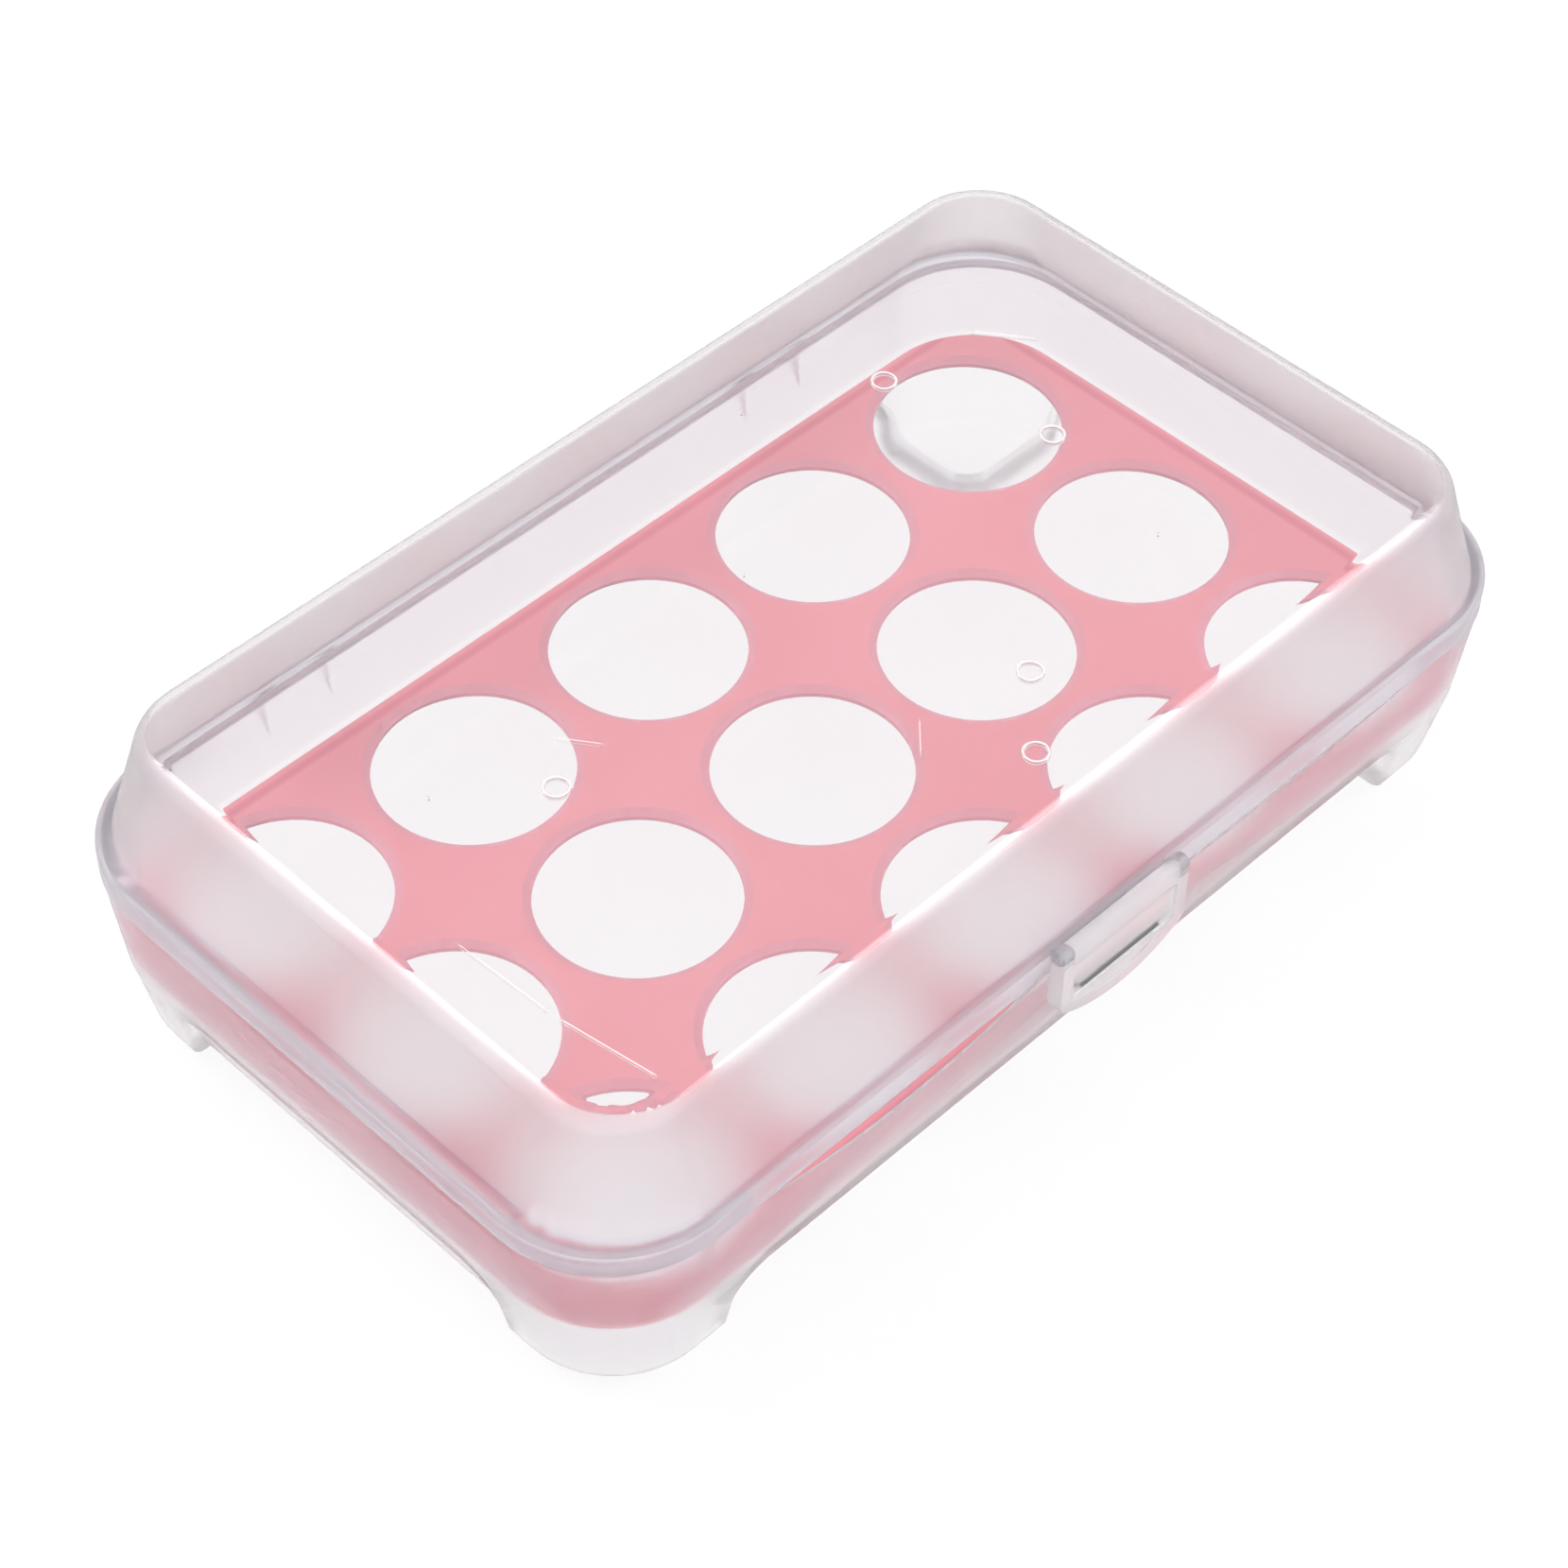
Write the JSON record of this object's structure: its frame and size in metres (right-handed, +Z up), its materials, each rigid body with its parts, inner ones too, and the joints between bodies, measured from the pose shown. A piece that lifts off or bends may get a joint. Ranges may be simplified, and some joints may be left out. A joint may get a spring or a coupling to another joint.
{
  "type": "egg keeper with flip lid",
  "caption": "Low rectangular food box on hollow corner feet, with a lift-out perforated egg tray, a rear-hinged flip lid and a front latch flap.",
  "frame": {"origin": "on the table, under the middle of the closed box with its latch and hinges", "axes": "+Z up, +X along the front from the viewer's left to right, -Y towards the latch side"},
  "size_m": [0.2426, 0.153, 0.0665],
  "materials": {
    "frosted_base": "frosted translucent polypropylene, fine satin outside",
    "coral_tray": "smooth coral pink moulded plastic",
    "frosted_lid": "polished clear top panel, frosted satin side walls",
    "frosted_latch": "frosted translucent, fine satin"
  },
  "bodies": {
    "base": {"base_tub": "frosted_base"},
    "tray": {"egg_tray": "coral_tray"},
    "lid": {"lid": "frosted_lid"},
    "latch": {"latch_flap": "frosted_latch"}
  },
  "joints": [
    {"name": "lid_hinge", "type": "hinge", "parent": "base", "child": "lid", "pos_m": [0, 0.07447, 0.0376], "axis": [-1, 0, 0], "range_deg": [0, 180]},
    {"name": "latch_hinge", "type": "hinge", "parent": "lid", "child": "latch", "pos_m": [0, -0.07487, 0.0435], "axis": [-1, 0, 0], "range_deg": [0, 90]},
    {"name": "tray_lift", "type": "slide", "parent": "base", "child": "tray", "axis": [0, 0, 1], "range_m": [0, 0.018]}
  ]
}
